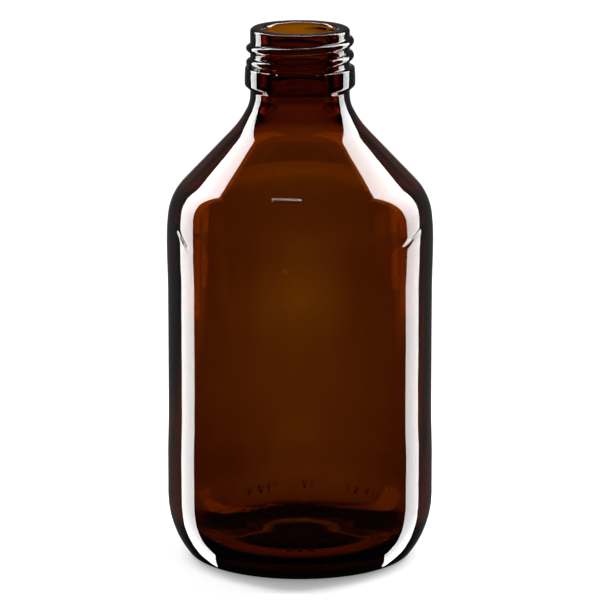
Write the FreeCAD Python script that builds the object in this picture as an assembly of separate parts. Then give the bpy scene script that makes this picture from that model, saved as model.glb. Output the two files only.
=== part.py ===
import FreeCAD, Part
import math
import os

# A round medicine bottle in one piece of blown glass, with no cap. All sizes are in millimetres.
# The frame has +Z up along the bottle's axis, and its origin is the centre of the surface it stands on.
# The mouth is at the top, and -Y is the side that carries the raised bar.

# Heel and side
body_diameter = 68.1
heel_height = 16.2
heel_inset = 8.0
heel_corner_radius = 3.8
heel_band = 8.7
panel_recess = 0.25
panel_blend = 13.5
panel_height = 30.2
shoulder_band = 1.2

# Shoulder, from the side up to the neck
crown_radius = 53.0
crown_angle = 6.8
shoulder_radius = 14.3
shoulder_angle = 43.7
neck_sweep_radius = 23.3
neck_root_radius = 8.3
neck_root_angle = 25.9
neck_diameter = 25.3
neck_length = 0.9

# Locking bead, which a closure's skirt is tucked under
bead_diameter = 28.1
bead_height = 6.2
bead_root_radius = 0.4
bead_chamfer_angle = 45.0
bead_corner_radius = 0.9
bead_land = 1.6
bead_draft = 3.5
bead_blend_radius = 1.6
bead_top_radius = 0.4

# Threaded finish, from the bead up to the mouth
finish_diameter = 25.3
finish_height = 9.85
finish_root_radius = 0.4
bore_diameter = 18.3
lip_outer_radius = 0.8
lip_inner_radius = 0.9

# Thread: a rounded ridge embedded in the finish, whose ends sink out of sight over the fade's angle
thread_pitch = 3.63
thread_depth = 1.05
thread_foot_width = 2.7
thread_crest_width = 2.0
thread_start_angle = 95.0
thread_top_gap = 2.35
thread_bottom_gap = 0.5
thread_fade = 50.0
thread_embed = 0.6
thread_sink = 1.2
thread_station = 15.0

# Inside of the glass
wall = 2.7
shoulder_wall = 2.4
inner_shoulder_radius = 12.0
inner_neck_radius = 5.0
inner_heel_radius = 11.0
base_ring_thickness = 2.2
base_centre_thickness = 5.0

# Underside
punt_height = 3.2
bearing_width = 2.2
bearing_fillet = 3.0
groove_pitch = 2.8
groove_radius = 0.8
groove_depth = 0.3
groove_length = 1.6

# Raised bar on the front of the shoulder
bar_length = 7.4
bar_radius = 0.75
bar_height = 0.45
bar_direction = -96.5
bar_above_shoulder = 0.6

# Dots in the mould-code places: a row under the base, and groups round the back of the heel,
# each with its first direction and its count
dot_diameter = 1.3
dot_top_diameter = 0.9
dot_height = 0.4
dot_root = 0.5
heel_dot_level = 9.0
heel_dot_step = 4.6
heel_dot_groups = ((103.0, 4), (84.0, 2), (47.0, 5))
base_dot_count = 3
base_dot_spacing = 2.6
base_dot_reach = 14.0

# A cubic arch rises to this share of the height of its two middle poles
arch_share = 0.75

# Radii that follow from the diameters
body_radius = body_diameter / 2
neck_radius = neck_diameter / 2
bead_radius = bead_diameter / 2
finish_radius = finish_diameter / 2
bore_radius = bore_diameter / 2
foot_radius = body_radius - heel_inset
bearing_radius = foot_radius - bearing_width


class Outline:
    """A half section drawn as one tangent path in the plane of radius and height."""

    def __init__(self, radius, height, heading):
        self.radius = radius
        self.height = height
        self.heading = heading
        self.edges = []
        self.marks = {}

    def mark(self, name):
        """Keeps the present radius and height under a name."""
        self.marks[name] = (self.radius, self.height)

    def point(self, radius, height):
        return FreeCAD.Vector(radius, 0, height)

    def line_to(self, radius, height):
        start = self.point(self.radius, self.height)
        self.edges.append(Part.makeLine(start, self.point(radius, height)))
        self.heading = math.degrees(math.atan2(height - self.height, radius - self.radius))
        self.radius = radius
        self.height = height

    def line(self, length):
        turn = math.radians(self.heading)
        self.line_to(self.radius + length * math.cos(turn), self.height + length * math.sin(turn))

    def arc(self, arc_radius, turn):
        """Turns by an angle in degrees, to the left where it is positive."""
        side = math.copysign(1, turn)
        normal = math.radians(self.heading + 90 * side)
        centre_radius = self.radius + arc_radius * math.cos(normal)
        centre_height = self.height + arc_radius * math.sin(normal)
        places = []
        for share in (0, 0.5, 1):
            back = math.radians(self.heading + turn * share - 90 * side)
            places.append((centre_radius + arc_radius * math.cos(back),
                           centre_height + arc_radius * math.sin(back)))
        self.edges.append(Part.Arc(*(self.point(*place) for place in places)).toShape())
        self.radius, self.height = places[2]
        self.heading += turn

    def step(self, length, offset):
        """Two equal arcs that run on along the heading for a length and end parallel, moved to the left."""
        turn = 2 * math.degrees(math.atan2(abs(offset), length))
        arc_radius = (length ** 2 + offset ** 2) / (4 * abs(offset))
        side = math.copysign(1, offset)
        self.arc(arc_radius, side * turn)
        self.arc(arc_radius, -side * turn)


def sine(angle):
    return math.sin(math.radians(angle))


def cosine(angle):
    return math.cos(math.radians(angle))


def punt_turn():
    """How far the dome under the base turns down before its fillet brings it level again."""
    return 2 * math.degrees(math.atan2(punt_height, bearing_radius))


def punt_radius():
    return bearing_radius / sine(punt_turn()) - bearing_fillet


def punt_level(reach):
    """Height of the dome under the base at a distance from the axis."""
    return punt_height - punt_radius() + math.sqrt(punt_radius() ** 2 - reach ** 2)


def heel_rise():
    return heel_height - heel_corner_radius


def heel_radius():
    """The large heel arc meets the corner arc and the straight side without a kink."""
    spread = heel_inset ** 2 + heel_rise() ** 2 - heel_corner_radius ** 2
    return spread / (2 * (heel_inset - heel_corner_radius))


def draw_underside(path):
    path.arc(punt_radius(), -punt_turn())
    path.arc(bearing_fillet, punt_turn())
    path.line_to(foot_radius, 0)


def draw_side(path):
    side_turn = math.degrees(math.atan2(heel_rise(), heel_radius() - heel_inset))
    path.arc(heel_corner_radius, 90 - side_turn)
    path.arc(heel_radius(), side_turn)
    path.line(heel_band)
    path.step(panel_blend, panel_recess)
    path.line(panel_height)
    path.step(panel_blend, -panel_recess)
    path.line(shoulder_band)


def draw_shoulder(path):
    """Arcs and a straight cone up to the neck. The cone takes up the radius that is left."""
    path.arc(crown_radius, crown_angle)
    path.arc(shoulder_radius, shoulder_angle - crown_angle)
    path.mark("cone start")
    root_run = neck_root_radius * (1 - cosine(neck_root_angle))
    sweep_run = neck_sweep_radius * (cosine(neck_root_angle) - cosine(shoulder_angle))
    path.line((path.radius - neck_radius - root_run - sweep_run) / sine(shoulder_angle))
    path.arc(neck_sweep_radius, neck_root_angle - shoulder_angle)
    path.arc(neck_root_radius, -neck_root_angle)
    path.line(neck_length)


def draw_bead(path):
    """Small root arc, chamfer, corner, straight land, drafted face and rounded top corner."""
    foot = path.height
    path.arc(bead_root_radius, -bead_chamfer_angle)
    reach = (bead_root_radius + bead_corner_radius) * (1 - cosine(bead_chamfer_angle))
    path.line((bead_radius - neck_radius - reach) / sine(bead_chamfer_angle))
    path.arc(bead_corner_radius, bead_chamfer_angle)
    path.line(bead_land)
    path.arc(bead_blend_radius, bead_draft)
    top_rise = bead_top_radius * (1 - sine(bead_draft))
    path.line((foot + bead_height - top_rise - path.height) / cosine(bead_draft))
    path.arc(bead_top_radius, 90 - bead_draft)
    path.line_to(finish_radius + finish_root_radius, path.height)
    path.mark("bead top")


def draw_lip(path):
    mouth = path.height + finish_height
    path.arc(finish_root_radius, -90)
    path.line_to(finish_radius, mouth - lip_outer_radius)
    path.arc(lip_outer_radius, 90)
    path.line_to(bore_radius + lip_inner_radius, mouth)
    path.mark("mouth")
    path.arc(lip_inner_radius, 90)


def draw_inner_shoulder(path):
    """The bore opens out along a cone that lies inside the outer one by the shoulder's wall."""
    inner_radius = body_radius - wall
    cone_radius, cone_height = path.marks["cone start"]
    cone_radius -= shoulder_wall * cosine(shoulder_angle)
    cone_height -= shoulder_wall * sine(shoulder_angle)
    rise = 1 / math.tan(math.radians(shoulder_angle))
    half = math.tan(math.radians(shoulder_angle / 2))
    bore_end = cone_height + (cone_radius - bore_radius) * rise
    side_end = cone_height + (cone_radius - inner_radius) * rise
    path.line_to(bore_radius, bore_end + inner_neck_radius * half)
    path.arc(inner_neck_radius, shoulder_angle)
    run = math.hypot(inner_radius - bore_radius, bore_end - side_end)
    path.line(run - (inner_neck_radius + inner_shoulder_radius) * half)
    path.arc(inner_shoulder_radius, -shoulder_angle)


def draw_inner_base(path):
    """The heel's inner arc runs down to its lowest ring and on into a low dome."""
    reach = path.radius - inner_heel_radius
    heel_centre = punt_level(reach) + base_ring_thickness + inner_heel_radius
    drop = heel_centre - punt_height - base_centre_thickness
    dome = (reach ** 2 + drop ** 2 - inner_heel_radius ** 2) / (2 * (inner_heel_radius - drop))
    dome_turn = math.degrees(math.atan2(reach, drop + dome))
    path.line_to(path.radius, heel_centre)
    path.arc(inner_heel_radius, -90 - dome_turn)
    path.arc(dome, dome_turn)
    path.line_to(0, punt_height)


def glass_outline():
    path = Outline(0, punt_height, 0)
    draw_underside(path)
    draw_side(path)
    draw_shoulder(path)
    draw_bead(path)
    draw_lip(path)
    draw_inner_shoulder(path)
    draw_inner_base(path)
    return path


def at_direction(radius, direction, height):
    return FreeCAD.Vector(radius * cosine(direction), radius * sine(direction), height)


def smooth(share):
    """A share from 0 to 1 with a level start and a level end."""
    return share * share * (3 - 2 * share)


def thread_section(direction, level, sunk):
    """One arch of the ridge, in a plane through the axis, its foot inside the glass."""
    foot = finish_radius - thread_embed - sunk
    peak = foot + (thread_depth + thread_embed) / arch_share
    poles = ((foot, -thread_foot_width / 2), (peak, -thread_crest_width / 2),
             (peak, thread_crest_width / 2), (foot, thread_foot_width / 2))
    points = [at_direction(radius, direction, level + offset) for radius, offset in poles]
    arch = Part.BezierCurve()
    arch.setPoles(points)
    return Part.Wire([arch.toShape(), Part.makeLine(points[3], points[0])])


def thread_ridge(path):
    """A right-hand ridge from under the lip down to the bead, each end sinking into the glass."""
    start = path.marks["mouth"][1] - thread_top_gap
    drop = start - path.marks["bead top"][1] - thread_bottom_gap
    sweep = 360 * drop / thread_pitch
    stations = math.ceil(sweep / thread_station)
    sections = []
    for index in range(stations + 1):
        turned = sweep * index / stations
        share = min(1, turned / thread_fade, (sweep - turned) / thread_fade)
        level = start - thread_pitch * turned / 360
        sunk = thread_sink * (1 - smooth(share))
        sections.append(thread_section(thread_start_angle - turned, level, sunk))
    return Part.makeLoft(sections, True, False, False, 3)


def shoulder_bar(path):
    """A rounded bar that follows the cone's curve, with round ends."""
    cone_radius, cone_height = path.marks["cone start"]
    along = bar_above_shoulder
    inward = bar_radius - bar_height
    radius = cone_radius - along * sine(shoulder_angle) - inward * cosine(shoulder_angle)
    height = cone_height + along * cosine(shoulder_angle) - inward * sine(shoulder_angle)
    sweep = math.degrees((bar_length - 2 * bar_radius) / radius)
    first = bar_direction - sweep / 2
    centre = FreeCAD.Vector(0, 0, height)
    bar = Part.makeTorus(radius, bar_radius, centre, FreeCAD.Vector(0, 0, 1), 0, 360, sweep)
    bar.rotate(centre, FreeCAD.Vector(0, 0, 1), first)
    ends = [Part.makeSphere(bar_radius, at_direction(radius, first + turn, height)) for turn in (0, sweep)]
    return [bar] + ends


def dot(surface, outward):
    """A plain raised dot with drafted sides, its foot inside the glass."""
    taper = (dot_diameter - dot_top_diameter) / dot_height
    foot_diameter = dot_diameter + taper * dot_root
    start = surface - outward * dot_root
    return Part.makeCone(foot_diameter / 2, dot_top_diameter / 2, dot_root + dot_height, start, outward)


def heel_dots():
    """Dots on the heel's large arc, square to its surface."""
    centre_radius = body_radius - heel_radius()
    fall = heel_height - heel_dot_level
    reach = math.sqrt(heel_radius() ** 2 - fall ** 2)
    dots = []
    for first, count in heel_dot_groups:
        for index in range(count):
            direction = first + heel_dot_step * index
            surface = at_direction(centre_radius + reach, direction, heel_dot_level)
            dots.append(dot(surface, at_direction(reach, direction, -fall) / heel_radius()))
    return dots


def base_dots():
    """A row of dots on the hollow underside, above the standing surface."""
    dots = []
    for index in range(base_dot_count):
        across = (index - (base_dot_count - 1) / 2) * base_dot_spacing
        level = punt_level(math.hypot(across, base_dot_reach))
        dots.append(dot(FreeCAD.Vector(across, -base_dot_reach, level), FreeCAD.Vector(0, 0, -1)))
    return dots


def bearing_grooves():
    """Shallow radial grooves in the ring that the bottle stands on, open to the outside."""
    count = round(2 * math.pi * foot_radius / groove_pitch)
    start = foot_radius - groove_length
    length = groove_length + heel_corner_radius
    level = groove_depth - groove_radius
    grooves = []
    for index in range(count):
        direction = 360 * (index + 0.5) / count
        place = at_direction(start, direction, level)
        grooves.append(Part.makeCylinder(groove_radius, length, place, at_direction(1, direction, 0)))
    return grooves


def make_bottle():
    path = glass_outline()
    section = Part.Face(Part.Wire(path.edges))
    glass = section.revolve(FreeCAD.Vector(0, 0, 0), FreeCAD.Vector(0, 0, 1), 360)
    glass = glass.fuse([thread_ridge(path)] + shoulder_bar(path) + heel_dots() + base_dots())
    glass = glass.cut(Part.Compound(bearing_grooves()))
    return glass.Solids[0]


os.makedirs("parts", exist_ok=True)
bottle = make_bottle()
bottle.exportStep("parts/bottle.step")
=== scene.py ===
import math

import bmesh
import bpy
import numpy as np
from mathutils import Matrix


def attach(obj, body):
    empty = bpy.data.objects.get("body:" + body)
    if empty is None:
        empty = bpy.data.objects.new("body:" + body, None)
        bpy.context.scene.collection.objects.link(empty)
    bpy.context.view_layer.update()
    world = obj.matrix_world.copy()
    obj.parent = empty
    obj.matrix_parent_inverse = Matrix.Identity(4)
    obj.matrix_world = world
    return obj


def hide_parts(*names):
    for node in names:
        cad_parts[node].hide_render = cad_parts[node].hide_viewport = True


# The bottle's looks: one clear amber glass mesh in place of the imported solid, with the solid's own sizes.
# Sizes of the glass are in millimetres and degrees. The studio is in metres.

MM = 0.001

# Heel and side
body_radius = 34.05
heel_height = 16.2
heel_inset = 8.0
heel_corner_radius = 3.8
heel_band = 8.7
panel_recess = 0.25
panel_blend = 13.5
panel_height = 30.2
shoulder_band = 1.2

# Shoulder and neck
crown_radius = 53.0
crown_angle = 6.8
shoulder_radius = 14.3
shoulder_angle = 43.7
neck_sweep_radius = 23.3
neck_root_radius = 8.3
neck_root_angle = 25.9
neck_radius = 12.65
neck_length = 0.9

# Locking bead
bead_radius = 14.05
bead_height = 6.2
bead_root_radius = 0.4
bead_chamfer_angle = 45.0
bead_corner_radius = 0.9
bead_land = 1.6
bead_blend_radius = 1.6
bead_draft = 3.5
bead_top_radius = 0.4

# Threaded finish and lip
finish_radius = 12.65
finish_height = 9.85
finish_root_radius = 0.4
bore_radius = 9.15
lip_outer_radius = 0.8
lip_inner_radius = 0.9

# Thread
thread_pitch = 3.63
thread_depth = 1.05
thread_foot_width = 2.7
thread_crest_width = 2.0
thread_start_angle = 95.0
thread_top_gap = 2.35
thread_bottom_gap = 0.5
thread_fade = 50.0
thread_embed = 0.6
thread_sink = 1.2
thread_root_blend = 0.12
thread_blend_depth = 0.4
thread_profile_points = 101

# Inside of the glass
wall = 2.7
shoulder_wall = 2.4
inner_shoulder_radius = 12.0
inner_neck_radius = 5.0
inner_heel_radius = 11.0
base_ring_thickness = 2.2
base_centre_thickness = 5.0

# Underside
foot_radius = body_radius - heel_inset
punt_height = 3.2
bearing_width = 2.2
bearing_fillet = 3.0
groove_pitch = 2.8
groove_radius = 0.8
groove_depth = 0.3
groove_length = 1.6
groove_end_fade = 0.5

# Raised bar
bar_length = 7.4
bar_radius = 0.75
bar_height = 0.45
bar_direction = -96.5
bar_above_shoulder = 0.6
bar_root_blend = 0.06

# Dots in the mould-code places
dot_radius = 0.65
dot_top_radius = 0.45
dot_height = 0.4
dot_softness = 0.1
heel_dot_level = 9.0
heel_dot_step = 4.6
heel_dot_groups = ((103.0, 4), (84.0, 2), (47.0, 5))
base_dot_count = 3
base_dot_spacing = 2.6
base_dot_reach = 14.0

# Unevenness of blown glass. Hollower and fuller places inside: height, direction, depth, spread up and round.
# Faint streaks inside and shallow waves outside: how often they come round, and their length up the side.
uneven_places = (
    (77, -90, 0.48, 11, 12), (62, 90, 0.45, 11, 12), (41, -88, 0.2, 6, 7), (24, 92, 0.2, 6, 7),
    (28, -122, -0.35, 10, 8), (72, -62, -0.3, 20, 5), (90, -110, -0.2, 9, 10),
)
inside_levels = (8, 100)
inside_fade = 12
streak_depth = 0.05
streaks_round = (7, 16)
streak_lengths = (15, 21)
outside_levels = (10, 108)
outside_fade = 8
wave_depth = 0.014
waves_round = (3, 2)
wave_lengths = (2.9, 5.1)
wave_sway = 2

# Marks on the outside: height, direction, depth, half length, half width and tilt of a seed and two creases
surface_marks = (
    (80.9, -96.6, 0.35, 0.65, 0.65, 0),
    (86.3, -34.0, 0.18, 4.0, 0.6, 20),
    (85.7, -150.6, 0.2, 3.0, 0.5, -35),
)

# Mesh density: columns round the bottle, the widest turn and length of a row, and cuts where detail is fine.
# Round the bar, dots and marks the cuts are made twice: first with the margin, and then without it.
columns = 232
row_turn = 7.0
row_length = 3.2
thread_row = 0.18
bearing_row = 0.4
groove_cuts = 1
groove_cuts_end = 1.0
dot_cuts = (3, 1)
dot_reach = 1.0
mark_cuts = (3, 2)
mark_reach = 0.5
bar_reach = (1.3, 0.3)
cuts_margin = 0.8
merge_distance = 1e-7

# Normals: the steps along and round the glass that measure its slope, and what counts as no slope
probe_length = 0.01
probe_turn = 0.02
no_slope = 1e-7

# Glass: how much each millimetre takes out of red, green and blue light
glass_ior = 1.52
absorption = (0.42, 0.76, 1.80)

# Camera, fitted to the photograph
camera_distance = 1.1677
camera_height = 0.33038
camera_tilt = 12.732
camera_lens = 280.85
sensor_width = 36.0

# Room, as reflections or rays through the glass see it. Edges are degrees from a patch's middle. Levels are
# how far a direction points up and sectors how far it points to the back, both as parts of one.
ambient_light = 0.35
backdrop_below_level = 6.0
reflected_back_edges = (9.0, 14.0)
reflected_dark = 0.01
reflected_dim = 0.08
reflected_dim_sector = (0.3, 0.7)
reflected_dim_levels = (-0.55, -0.30)
reflected_top_angle = 73.0
reflected_top_edges = (9.0, 13.0)
reflected_top = 9.0
seen_through_dark = 0.02
seen_through_aside = 0.6
dark_sector_end = (0.70, 0.76)
dark_sector_start = (0.90, 0.95)
dark_sky_levels = (0.25, 0.45)
back_sky_levels = (0.26, 0.36)

# Floor: its paper, its glow to the camera, and its strengths to rays through the glass, which change with the
# distance from the bottle's axis, to the side and from front to back. Those strengths hold a painted amber
# glow under the bottle's front and a painted shadow round the bottle.
floor_reach = 6.0
floor_white = 0.8
floor_roughness = 0.9
camera_glow_near = 0.25
camera_glow_far = 0.78
camera_glow_reach = (0.15, 0.50)
behind_glow = 0.58
far_glow = 1.0
far_reach = (0.52, 0.72)
side_glow = 1.0
side_reach = (0.045, 0.065)
outer_reach = (0.045, 0.085)
outer_spread = 0.17
# Painted amber glow on the floor under the bottle's front, standing in for light through the glass: its
# strength, colour, front edge and radius. Beyond it lies a painted shadow out to the shadow radius
painted_glow_strength = 0.4
painted_glow_tint = (1.0, 0.5, 0.2)
under_edge = (0.002, 0.008)
under_radius = (0.024, 0.026)
shadow_radius = (0.036, 0.044)

# Strip lights: height, and directions of the front and back edges in degrees from straight beside the bottle
strip_distance = 0.314
strip_lower = ((-0.31, 21.5, 51), (-0.22, 20, 48), (-0.08, 10.5, 30.5), (0, 10.5, 30.5))
strip_upper_left = ((0, 10.5, 30.5), (0.08, 10.5, 30.5), (0.24, 18.5, 41.5), (1.4, 18.5, 41.5))
strip_upper_right = ((0, 10.5, 30.5), (0.08, 10.5, 30.5), (0.24, 13, 41.5), (1.4, 13, 41.5))
strip_glow_left = 8.6
strip_glow_right = 7.6
strip_glow_top = 12.6
strip_fade = (0.05, 0.30)

off_to_on = (0.0, 1.0)


def sine(angle):
    return math.sin(math.radians(angle))


def cosine(angle):
    return math.cos(math.radians(angle))


class Outline:
    """The glass's half section: a path of straight and round strokes that never kinks."""

    def __init__(self, radius, height, heading):
        self.radius = radius
        self.height = height
        self.heading = heading
        self.length = 0
        self.strokes = []
        self.rows = [0.0]
        self.marks = {}

    def stroke(self, length, turn, row=row_length):
        self.strokes.append((self.length, self.radius, self.height, self.heading, turn / length))
        count = max(1, math.ceil(abs(turn) / row_turn), math.ceil(length / row))
        self.rows += [self.length + length * (step + 1) / count for step in range(count)]
        radius, height, heading = self.at(np.array([self.length + length]))
        self.length += length
        self.radius = radius[0]
        self.height = height[0]
        self.heading = heading[0]

    def line(self, length, row=row_length):
        self.stroke(length, 0, row)

    def arc(self, arc_radius, turn):
        self.stroke(arc_radius * math.radians(abs(turn)), turn)

    def step(self, length, offset):
        turn = math.copysign(2 * math.degrees(math.atan2(abs(offset), length)), offset)
        arc_radius = (length ** 2 + offset ** 2) / (4 * abs(offset))
        self.arc(arc_radius, turn)
        self.arc(arc_radius, -turn)

    def mark(self, name):
        self.marks[name] = (self.length, self.radius, self.height)

    def at(self, lengths):
        """Radius, height and heading at lengths along the path."""
        starts = np.array(self.strokes)
        index = np.clip(np.searchsorted(starts[:, 0], lengths, side="right") - 1, 0, len(starts) - 1)
        start, radius, height, heading, rate = starts[index].T
        run = lengths - start
        middle = np.radians(heading + rate * run / 2)
        chord = run * np.sinc(np.radians(rate * run / 2) / math.pi)
        return radius + chord * np.cos(middle), height + chord * np.sin(middle), heading + rate * run


def punt_turn():
    return 2 * math.degrees(math.atan2(punt_height, foot_radius - bearing_width))


def punt_radius():
    return (foot_radius - bearing_width) / sine(punt_turn()) - bearing_fillet


def punt_level(reach):
    return punt_height - punt_radius() + math.sqrt(punt_radius() ** 2 - reach ** 2)


def draw_underside(path):
    path.arc(punt_radius(), -punt_turn())
    path.arc(bearing_fillet, punt_turn())
    path.mark("bearing")
    path.line(bearing_width, bearing_row)


def heel_radius():
    rise = heel_height - heel_corner_radius
    return (heel_inset ** 2 + rise ** 2 - heel_corner_radius ** 2) / (2 * (heel_inset - heel_corner_radius))


def draw_side(path):
    rise = heel_height - heel_corner_radius
    side_turn = math.degrees(math.atan2(rise, heel_radius() - heel_inset))
    path.arc(heel_corner_radius, 90 - side_turn)
    path.mark("heel")
    path.arc(heel_radius(), side_turn)
    path.mark("side")
    path.line(heel_band)
    path.step(panel_blend, panel_recess)
    path.line(panel_height)
    path.step(panel_blend, -panel_recess)
    path.line(shoulder_band)


def draw_shoulder(path):
    path.arc(crown_radius, crown_angle)
    path.arc(shoulder_radius, shoulder_angle - crown_angle)
    path.mark("cone")
    root_run = neck_root_radius * (1 - cosine(neck_root_angle))
    sweep_run = neck_sweep_radius * (cosine(neck_root_angle) - cosine(shoulder_angle))
    path.line((path.radius - neck_radius - root_run - sweep_run) / sine(shoulder_angle))
    path.arc(neck_sweep_radius, neck_root_angle - shoulder_angle)
    path.arc(neck_root_radius, -neck_root_angle)
    path.line(neck_length)


def draw_bead(path):
    foot = path.height
    path.arc(bead_root_radius, -bead_chamfer_angle)
    reach = (bead_root_radius + bead_corner_radius) * (1 - cosine(bead_chamfer_angle))
    path.line((bead_radius - neck_radius - reach) / sine(bead_chamfer_angle))
    path.arc(bead_corner_radius, bead_chamfer_angle)
    path.line(bead_land)
    path.arc(bead_blend_radius, bead_draft)
    top_rise = bead_top_radius * (1 - sine(bead_draft))
    path.line((foot + bead_height - top_rise - path.height) / cosine(bead_draft))
    path.arc(bead_top_radius, 90 - bead_draft)
    path.line(path.radius - finish_radius - finish_root_radius)
    path.mark("bead_top")


def draw_lip(path):
    path.arc(finish_root_radius, -90)
    path.line(finish_height - finish_root_radius - lip_outer_radius, thread_row)
    path.arc(lip_outer_radius, 90)
    path.line(finish_radius - lip_outer_radius - bore_radius - lip_inner_radius)
    path.mark("mouth")
    path.arc(lip_inner_radius, 90)


def draw_inner_shoulder(path):
    inner_radius = body_radius - wall
    cone_radius = path.marks["cone"][1] - shoulder_wall * cosine(shoulder_angle)
    cone_height = path.marks["cone"][2] - shoulder_wall * sine(shoulder_angle)
    rise = 1 / math.tan(math.radians(shoulder_angle))
    half = math.tan(math.radians(shoulder_angle / 2))
    bore_end = cone_height + (cone_radius - bore_radius) * rise
    side_end = cone_height + (cone_radius - inner_radius) * rise
    path.line(path.height - bore_end - inner_neck_radius * half)
    path.arc(inner_neck_radius, shoulder_angle)
    run = math.hypot(inner_radius - bore_radius, bore_end - side_end)
    path.line(run - (inner_neck_radius + inner_shoulder_radius) * half)
    path.arc(inner_shoulder_radius, -shoulder_angle)


def draw_inner_base(path):
    reach = path.radius - inner_heel_radius
    heel_centre = punt_level(reach) + base_ring_thickness + inner_heel_radius
    drop = heel_centre - punt_height - base_centre_thickness
    dome = (reach ** 2 + drop ** 2 - inner_heel_radius ** 2) / (2 * (inner_heel_radius - drop))
    dome_turn = math.degrees(math.atan2(reach, drop + dome))
    path.line(path.height - heel_centre)
    path.arc(inner_heel_radius, -90 - dome_turn)
    path.arc(dome, dome_turn)


def glass_outline():
    path = Outline(0, punt_height, 0)
    draw_underside(path)
    draw_side(path)
    draw_shoulder(path)
    draw_bead(path)
    draw_lip(path)
    draw_inner_shoulder(path)
    draw_inner_base(path)
    return path


def smooth(share):
    share = np.clip(share, 0, 1)
    return share * share * (3 - 2 * share)


def turned_from(angles, direction):
    """Degrees from a direction, between -180 and 180."""
    return (angles - direction + 180) % 360 - 180


def thread_rise(path, lengths, heights, angles):
    """How far the thread stands out of the finish."""
    bead_top = path.marks["bead_top"][2]
    start = path.marks["mouth"][2] - thread_top_gap
    sweep = 360 * (start - bead_top - thread_bottom_gap) / thread_pitch
    share = np.linspace(0, 1, thread_profile_points)
    arch = 4 * (thread_depth + thread_embed) * share * (1 - share)
    offset = (thread_foot_width * (share ** 3 - (1 - share) ** 3) / 2
              + 3 * thread_crest_width * share * (1 - share) * (2 * share - 1) / 2)
    ridge = np.full(heights.shape, -thread_embed)
    for lap in range(-1, 3):
        turned = thread_start_angle - angles + 360 * lap
        hidden = 1 - smooth(np.minimum(turned, sweep - turned) / thread_fade)
        level = start - thread_pitch * turned / 360
        here = np.interp(heights - level, offset, arch, left=0, right=0) - thread_embed
        inside = (turned > 0) & (turned < sweep)
        ridge = np.maximum(ridge, np.where(inside, here - hidden * thread_sink, -thread_embed))
    blended = (ridge + np.sqrt(ridge ** 2 + thread_root_blend ** 2)) / 2
    blended = np.where(ridge > -thread_blend_depth, blended, 0)
    on_finish = (lengths > path.marks["bead_top"][0]) & (lengths < path.marks["mouth"][0])
    return np.where(on_finish, blended, 0)


def bar_rise(path, lengths, radii, angles):
    """How far the rounded bar stands out of the shoulder."""
    across = lengths - path.marks["cone"][0] - bar_above_shoulder
    around = np.radians(turned_from(angles, bar_direction)) * radii
    beyond = np.maximum(np.abs(around) - (bar_length / 2 - bar_radius), 0)
    away = np.hypot(across, beyond)
    rise = np.sqrt(np.maximum(bar_radius ** 2 - away ** 2, 0)) - (bar_radius - bar_height)
    blended = (rise + np.sqrt(rise ** 2 + bar_root_blend ** 2)) / 2
    return np.where(away < 2 * bar_radius, blended, 0)


def dot_places(path):
    """Length along the outline and direction of each dot."""
    heel_turn = math.asin((heel_height - heel_corner_radius) / (heel_radius() - heel_corner_radius))
    dot_turn = math.asin((heel_height - heel_dot_level) / heel_radius())
    level = path.marks["heel"][0] + heel_radius() * (heel_turn - dot_turn)
    places = []
    for first, count in heel_dot_groups:
        places += [(level, first + heel_dot_step * index) for index in range(count)]
    for index in range(base_dot_count):
        across = (index - (base_dot_count - 1) / 2) * base_dot_spacing
        turn = math.degrees(math.atan2(across, base_dot_reach))
        places.append((math.hypot(across, base_dot_reach), turn - 90))
    return places


def dot_rise(path, lengths, radii, angles):
    """How far the dots stand out of the heel and the base."""
    rise = np.zeros(lengths.shape)
    for level, direction in dot_places(path):
        around = np.radians(turned_from(angles, direction)) * radii
        away = np.hypot(lengths - level, around)
        slope = smooth((dot_radius + dot_softness - away) / (dot_radius - dot_top_radius + 2 * dot_softness))
        rise = np.maximum(rise, dot_height * slope)
    return rise


def groove_lift(path, lengths, radii, heights, angles):
    """How far up the grooves cut into the standing ring."""
    count = round(2 * math.pi * foot_radius / groove_pitch)
    around = np.radians(turned_from(angles * count, 180) / count) * radii
    top = np.sqrt(np.maximum(groove_radius ** 2 - around ** 2, 0)) + groove_depth - groove_radius
    fade = smooth((radii - foot_radius + groove_length) / groove_end_fade)
    below = (lengths > path.marks["bearing"][0] / 2) & (lengths < path.marks["heel"][0] + heel_corner_radius)
    return np.where(below, np.maximum(top * fade - heights, 0), 0)


def within(heights, levels, fade):
    """Rises to 1 above the lower level, and goes back to 0 below the upper one."""
    return smooth((heights - levels[0]) / fade) * smooth((levels[1] - heights) / fade)


def hollows(heights, angles):
    """How much further in the glass lies on the inside than it is drawn."""
    depth = np.zeros(heights.shape)
    for height, direction, deepest, tall, wide in uneven_places:
        around = np.radians(turned_from(angles, direction)) * (body_radius - wall)
        depth += deepest * np.exp(-((heights - height) / tall) ** 2 - (around / wide) ** 2)
    turn = np.radians(angles)
    streaks = np.sin(streaks_round[0] * turn + np.sin(heights / streak_lengths[0]))
    streaks = streaks * np.sin(streaks_round[1] * turn - heights / streak_lengths[1])
    return (depth + streak_depth * streaks) * within(heights, inside_levels, inside_fade)


def waves(heights, angles):
    """Depth of the shallow waves on the outside."""
    turn = np.radians(angles)
    first = np.sin(heights / wave_lengths[0] + wave_sway * np.sin(waves_round[0] * turn))
    second = np.sin(heights / wave_lengths[1] - wave_sway * np.sin(waves_round[1] * turn + 1))
    return wave_depth * (1 + (first + second) / 2) * within(heights, outside_levels, outside_fade)


def unevenness(path, lengths, heights, angles):
    """How far the blown surface lies below its drawn place."""
    outside = (lengths > path.marks["heel"][0]) & (lengths < path.marks["bead_top"][0])
    inside = lengths > path.marks["mouth"][0]
    return np.where(outside, waves(heights, angles), np.where(inside, hollows(heights, angles), 0))


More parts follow.
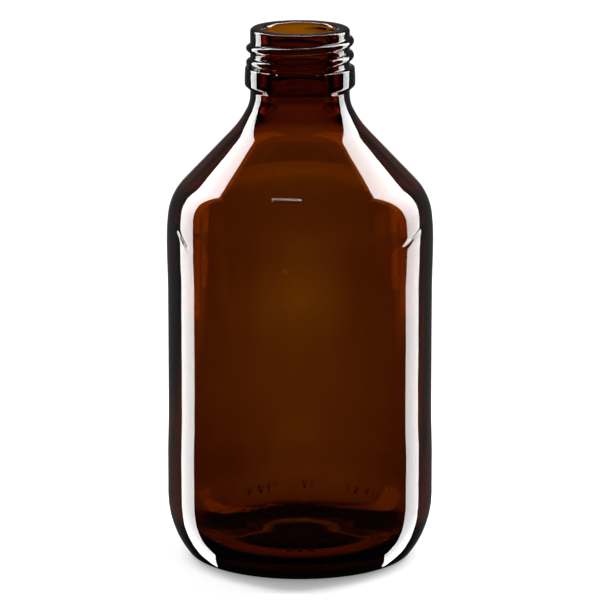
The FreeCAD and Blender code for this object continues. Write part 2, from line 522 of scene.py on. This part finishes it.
def mark_depth(path, lengths, radii, angles):
    """Depth of the seed and the creases."""
    depth = np.zeros(lengths.shape)
    for height, direction, deepest, long, wide, tilt in surface_marks:
        up = lengths - path.marks["side"][0] - height + heel_height
        around = np.radians(turned_from(angles, direction)) * radii
        along = (around * cosine(tilt) + up * sine(tilt)) / long
        across = (up * cosine(tilt) - around * sine(tilt)) / wide
        depth += deepest * np.exp(-along ** 2 - across ** 2)
    return depth


def surface(path, lengths, angles):
    """Points on the glass, in millimetres, at lengths along the outline and directions in degrees."""
    radii, heights, headings = path.at(lengths)
    rise = thread_rise(path, lengths, heights, angles)
    rise = rise + bar_rise(path, lengths, radii, angles) + dot_rise(path, lengths, radii, angles)
    rise = rise - unevenness(path, lengths, heights, angles) - mark_depth(path, lengths, radii, angles)
    lift = groove_lift(path, lengths, radii, heights, angles)
    radii_out = radii + rise * np.sin(np.radians(headings))
    heights_out = heights - rise * np.cos(np.radians(headings)) + lift
    turn = np.radians(angles)
    return np.stack([radii_out * np.cos(turn), radii_out * np.sin(turn), heights_out], axis=-1)


def surface_normals(path, lengths, angles):
    """Outward normals by central differences, and straight down or up on the axis."""
    along = surface(path, lengths + probe_length, angles) - surface(path, lengths - probe_length, angles)
    around = surface(path, lengths, angles + probe_turn) - surface(path, lengths, angles - probe_turn)
    normals = np.cross(around, along)
    size = np.linalg.norm(normals, axis=-1, keepdims=True)
    on_axis = size[:, 0] < no_slope
    normals = normals / np.maximum(size, no_slope)
    normals[on_axis] = [0, 0, 1]
    normals[on_axis & (lengths < path.marks["bearing"][0])] = [0, 0, -1]
    return normals


def refine(bm, low_length, high_length, low_angle, high_angle, cuts):
    """Cuts the faces of one part of the flat grid finer."""
    edges = set()
    for face in bm.faces:
        middle = face.calc_center_median()
        if low_length < middle.x < high_length and low_angle < middle.y < high_angle:
            edges.update(face.edges)
    bmesh.ops.subdivide_edges(bm, edges=list(edges), cuts=cuts, use_grid_fill=True, use_single_edge=True)


def fine_places(path):
    """Length along the outline, direction, half height, half width and cuts of each place with fine detail."""
    bar_level = path.marks["cone"][0] + bar_above_shoulder
    places = [(bar_level, bar_direction, bar_reach[0], bar_length / 2 + bar_reach[1], mark_cuts)]
    places += [(level, direction, dot_reach, dot_reach, dot_cuts) for level, direction in dot_places(path)]
    for height, direction, depth, long, thin, tilt in surface_marks:
        level = path.marks["side"][0] + height - heel_height
        tall = max(thin, long * abs(sine(tilt))) + mark_reach
        places.append((level, direction, tall, long * cosine(tilt) + mark_reach, mark_cuts))
    return places


def flat_grid(path):
    """The glass unrolled: x is the length along the outline, y the direction in degrees."""
    bm = bmesh.new()
    rows = path.rows
    angles = [360 * step / columns for step in range(columns + 1)]
    grid = [[bm.verts.new((row, angle, 0)) for angle in angles] for row in rows]
    for lower, upper in zip(grid, grid[1:]):
        for column in range(columns):
            bm.faces.new((lower[column], lower[column + 1], upper[column + 1], upper[column]))
    refine(bm, path.marks["bearing"][0], path.marks["heel"][0] + groove_cuts_end, 0, 360, groove_cuts)
    for level, direction, tall, wide, cuts in fine_places(path):
        radius = path.at(np.array([level]))[0][0]
        for cut_count, more in zip(cuts, (cuts_margin, 0)):
            half = math.degrees((wide + more) / radius)
            reach = tall + more
            refine(bm, level - reach, level + reach, direction % 360 - half, direction % 360 + half, cut_count)
    return bm


def glass_mesh(path):
    """The flat grid bent round the bottle, closed where its edges meet, with exact normals."""
    bm = flat_grid(path)
    flat = np.array([vert.co for vert in bm.verts])
    points = surface(path, flat[:, 0], flat[:, 1]) * MM
    length_layer = bm.verts.layers.float.new("length")
    angle_layer = bm.verts.layers.float.new("angle")
    for vert, place, point in zip(bm.verts, flat, points):
        vert[length_layer] = place[0]
        vert[angle_layer] = place[1]
        vert.co = point
    bmesh.ops.remove_doubles(bm, verts=bm.verts, dist=merge_distance)
    mesh = bpy.data.meshes.new("amber_bottle")
    kept = np.array([(vert[length_layer], vert[angle_layer]) for vert in bm.verts])
    bm.to_mesh(mesh)
    bm.free()
    mesh.shade_smooth()
    mesh.normals_split_custom_set_from_vertices(surface_normals(path, kept[:, 0], kept[:, 1]))
    return mesh


def glass_material():
    """Smooth clear glass that takes out more blue than green and more green than red."""
    material = bpy.data.materials.new("amber_glass")
    material.use_nodes = True
    nodes = material.node_tree.nodes
    links = material.node_tree.links
    shader = nodes["Principled BSDF"]
    shader.inputs["Base Color"].default_value = (1, 1, 1, 1)
    shader.inputs["Roughness"].default_value = 0.0
    shader.inputs["IOR"].default_value = glass_ior
    shader.inputs["Transmission Weight"].default_value = 1
    volume = nodes.new("ShaderNodeVolumeAbsorption")
    strongest = max(absorption) / MM
    volume.inputs["Color"].default_value = [1 - taken / MM / strongest for taken in absorption] + [1]
    volume.inputs["Density"].default_value = strongest
    links.new(volume.outputs["Volume"], nodes["Material Output"].inputs["Volume"])
    return material


def build_bottle():
    path = glass_outline()
    bottle = bpy.data.objects.new("amber_bottle", glass_mesh(path))
    bpy.context.scene.collection.objects.link(bottle)
    bottle.data.materials.append(glass_material())
    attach(bottle, "root")
    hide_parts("bottle")


def new_plane(name, corners):
    mesh = bpy.data.meshes.new(name)
    mesh.from_pydata(corners, [], [tuple(range(len(corners)))])
    plane = bpy.data.objects.new(name, mesh)
    bpy.context.scene.collection.objects.link(plane)
    return plane


def ramp(nodes, links, value, reach, low, high):
    """Goes smoothly from low to high as the value goes through the reach."""
    step = nodes.new("ShaderNodeMapRange")
    step.interpolation_type = "SMOOTHSTEP"
    step.inputs["From Min"].default_value = reach[0]
    step.inputs["From Max"].default_value = reach[1]
    for socket, end in (("To Min", low), ("To Max", high)):
        if isinstance(end, float):
            step.inputs[socket].default_value = end
        else:
            links.new(end, step.inputs[socket])
    links.new(value, step.inputs["Value"])
    return step.outputs["Result"]


def math_node(nodes, links, operation, *values):
    node = nodes.new("ShaderNodeMath")
    node.operation = operation
    for socket, value in zip(node.inputs, values):
        if isinstance(value, float):
            socket.default_value = value
        else:
            links.new(value, socket)
    return node.outputs[0]


def floor_places(nodes, links):
    """Distance from the bottle's axis, distance to the side, and place from front to back."""
    place = nodes.new("ShaderNodeNewGeometry")
    away = nodes.new("ShaderNodeVectorMath")
    away.operation = "LENGTH"
    links.new(place.outputs["Position"], away.inputs[0])
    split = nodes.new("ShaderNodeSeparateXYZ")
    links.new(place.outputs["Position"], split.inputs[0])
    aside = math_node(nodes, links, "ABSOLUTE", split.outputs["X"])
    return away.outputs["Value"], aside, split.outputs["Y"]


def seen_through_floor(nodes, links, away, aside, depth):
    """The floor through the glass: a soft backdrop, two dark sectors, a painted amber glow under the bottle
    and a painted shadow round it.
    """
    middle = ramp(nodes, links, away, far_reach, behind_glow, far_glow)
    behind = ramp(nodes, links, aside, side_reach, middle, side_glow)
    facing = math_node(nodes, links, "DIVIDE", depth, away)
    outer = ramp(nodes, links, facing, dark_sector_end, seen_through_aside, seen_through_dark)
    beyond = math_node(nodes, links, "MULTIPLY_ADD", depth, -outer_spread, aside)
    behind = ramp(nodes, links, beyond, outer_reach, behind, outer)
    # Painted amber glow under the bottle's front, then painted shadow round the bottle out to the shadow
    # radius
    under = ramp(nodes, links, depth, under_edge, painted_glow_strength, 0.0)
    shadow = ramp(nodes, links, away, under_radius, under, 0.0)
    light = nodes.new("ShaderNodeEmission")
    links.new(ramp(nodes, links, away, shadow_radius, shadow, behind), light.inputs["Strength"])
    tint = nodes.new("ShaderNodeCombineColor")
    for socket, share in zip(tint.inputs, painted_glow_tint):
        links.new(ramp(nodes, links, away, shadow_radius, share, 1.0), socket)
    links.new(tint.outputs["Color"], light.inputs["Color"])
    return light


def floor_material():
    """White paper, lit by the lamps and white to the camera, and to rays through the glass a backdrop with a
    painted glow and a painted shadow under the bottle.
    """
    material = bpy.data.materials.new("floor_white")
    material.use_nodes = True
    nodes = material.node_tree.nodes
    links = material.node_tree.links
    away, aside, depth = floor_places(nodes, links)
    ray = nodes.new("ShaderNodeLightPath")
    paper = nodes["Principled BSDF"]
    paper.inputs["Base Color"].default_value = (floor_white, floor_white, floor_white, 1)
    paper.inputs["Roughness"].default_value = floor_roughness
    paper.inputs["Specular IOR Level"].default_value = 0
    paper.inputs["Emission Color"].default_value = (1, 1, 1, 1)
    glow = ramp(nodes, links, away, camera_glow_reach, camera_glow_near, camera_glow_far)
    glow = math_node(nodes, links, "MULTIPLY", glow, ray.outputs["Is Camera Ray"])
    links.new(glow, paper.inputs["Emission Strength"])
    backdrop = seen_through_floor(nodes, links, away, aside, depth)
    seen = nodes.new("ShaderNodeMixShader")
    links.new(ray.outputs["Is Transmission Ray"], seen.inputs["Fac"])
    links.new(paper.outputs["BSDF"], seen.inputs[1])
    links.new(backdrop.outputs["Emission"], seen.inputs[2])
    links.new(seen.outputs["Shader"], nodes["Material Output"].inputs["Surface"])
    return material


def build_floor():
    corners = [(x * floor_reach, y * floor_reach, 0) for x, y in ((-1, -1), (1, -1), (1, 1), (-1, 1))]
    floor = new_plane("floor", corners)
    floor.data.materials.append(floor_material())
    floor.visible_glossy = False


def back_patch(nodes, links, way, elevation, edges, outside, inside):
    """A round patch of the room's back at an elevation in degrees, with a soft rim between its two edges."""
    facing = nodes.new("ShaderNodeVectorMath")
    facing.operation = "DOT_PRODUCT"
    facing.inputs[1].default_value = (0, cosine(elevation), sine(elevation))
    links.new(way, facing.inputs[0])
    rim = (cosine(edges[1]), cosine(edges[0]))
    return ramp(nodes, links, facing.outputs["Value"], rim, outside, inside)


def reflected_room(nodes, links, way, across, up):
    """The room in reflections: dark, with a dim back, a small lamp high up and the white backdrop."""
    dim = ramp(nodes, links, up, reflected_dim_levels, reflected_dark, reflected_dim)
    room = ramp(nodes, links, across, reflected_dim_sector, reflected_dark, dim)
    room = back_patch(nodes, links, way, reflected_top_angle, reflected_top_edges, room, reflected_top)
    return back_patch(nodes, links, way, -backdrop_below_level, reflected_back_edges, room, 1.0)


def seen_through_room(nodes, links, across, up):
    """The room through the glass: a backdrop between two dark sectors, soft light beyond, a dark ceiling."""
    down = math_node(nodes, links, "MULTIPLY", up, -1.0)
    level = math_node(nodes, links, "SQRT", math_node(nodes, links, "MULTIPLY_ADD", up, down, 1.0))
    facing = math_node(nodes, links, "DIVIDE", across, level)
    walls = ramp(nodes, links, up, dark_sky_levels, seen_through_aside, seen_through_dark)
    back = ramp(nodes, links, up, back_sky_levels, 1.0, seen_through_dark)
    room = ramp(nodes, links, facing, dark_sector_end, walls, seen_through_dark)
    return ramp(nodes, links, facing, dark_sector_start, room, back)


def build_world():
    """White to the camera, a soft fill on matt surfaces, and a backdrop in a darker room to the glass."""
    world = bpy.data.worlds.new("studio")
    bpy.context.scene.world = world
    world.use_nodes = True
    nodes = world.node_tree.nodes
    links = world.node_tree.links
    ray = nodes.new("ShaderNodeLightPath")
    place = nodes.new("ShaderNodeTexCoord")
    split = nodes.new("ShaderNodeSeparateXYZ")
    way = place.outputs["Generated"]
    links.new(way, split.inputs[0])
    reflected = reflected_room(nodes, links, way, split.outputs["Y"], split.outputs["Z"])
    seen_through = seen_through_room(nodes, links, split.outputs["Y"], split.outputs["Z"])
    strength = ambient_light
    for kind, shown in (("Glossy", reflected), ("Transmission", seen_through), ("Camera", 1.0)):
        strength = ramp(nodes, links, ray.outputs["Is " + kind + " Ray"], off_to_on, strength, shown)
    light = nodes["Background"]
    light.inputs["Color"].default_value = (1, 1, 1, 1)
    links.new(strength, light.inputs["Strength"])


def strip_material(name, glow):
    """A strip light that is brighter towards its top."""
    material = bpy.data.materials.new(name)
    material.use_nodes = True
    nodes = material.node_tree.nodes
    links = material.node_tree.links
    nodes.remove(nodes["Principled BSDF"])
    place = nodes.new("ShaderNodeNewGeometry")
    split = nodes.new("ShaderNodeSeparateXYZ")
    links.new(place.outputs["Position"], split.inputs[0])
    light = nodes.new("ShaderNodeEmission")
    strength = ramp(nodes, links, split.outputs["Z"], strip_fade, glow, strip_glow_top)
    links.new(strength, light.inputs["Strength"])
    links.new(light.outputs["Emission"], nodes["Material Output"].inputs["Surface"])
    return material


def build_strip(name, side, edges, material):
    """An upright strip that stands beside the bottle, with one face between each two heights."""
    points = []
    for height, front, back in edges:
        for direction in (front, back):
            across = strip_distance * cosine(direction) * side
            points.append((across, strip_distance * sine(direction), height))
    faces = [(2 * step, 2 * step + 1, 2 * step + 3, 2 * step + 2) for step in range(len(edges) - 1)]
    mesh = bpy.data.meshes.new(name)
    mesh.from_pydata(points, [], faces)
    strip = bpy.data.objects.new(name, mesh)
    bpy.context.scene.collection.objects.link(strip)
    mesh.materials.append(material)
    strip.visible_camera = False
    return strip


def build_strips():
    """Each strip runs on below the floor, where only reflections see it."""
    left = ("left", -1, strip_glow_left, strip_upper_left)
    right = ("right", 1, strip_glow_right, strip_upper_right)
    for name, side, glow, upper in (left, right):
        material = strip_material("strip_" + name, glow)
        build_strip("strip_" + name, side, upper, material)
        below = build_strip("strip_lower_" + name, side, strip_lower, material)
        below.visible_diffuse = False
        below.visible_transmission = False
        below.visible_shadow = False


def build_camera():
    camera = bpy.data.cameras.new("camera")
    camera.lens = camera_lens
    camera.sensor_width = sensor_width
    holder = bpy.data.objects.new("camera", camera)
    holder.location = (0, -camera_distance, camera_height)
    holder.rotation_euler = (math.radians(90 - camera_tilt), 0, 0)
    bpy.context.scene.collection.objects.link(holder)
    bpy.context.scene.camera = holder


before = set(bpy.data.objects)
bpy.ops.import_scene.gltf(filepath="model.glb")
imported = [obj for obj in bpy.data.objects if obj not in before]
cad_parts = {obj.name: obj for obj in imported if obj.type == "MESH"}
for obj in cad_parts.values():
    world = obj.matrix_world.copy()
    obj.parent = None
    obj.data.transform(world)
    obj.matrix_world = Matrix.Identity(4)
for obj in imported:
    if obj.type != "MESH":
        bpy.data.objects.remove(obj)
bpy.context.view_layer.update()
bpy.context.scene.view_settings.view_transform = "Standard"
build_bottle()
build_floor()
build_world()
build_strips()
build_camera()
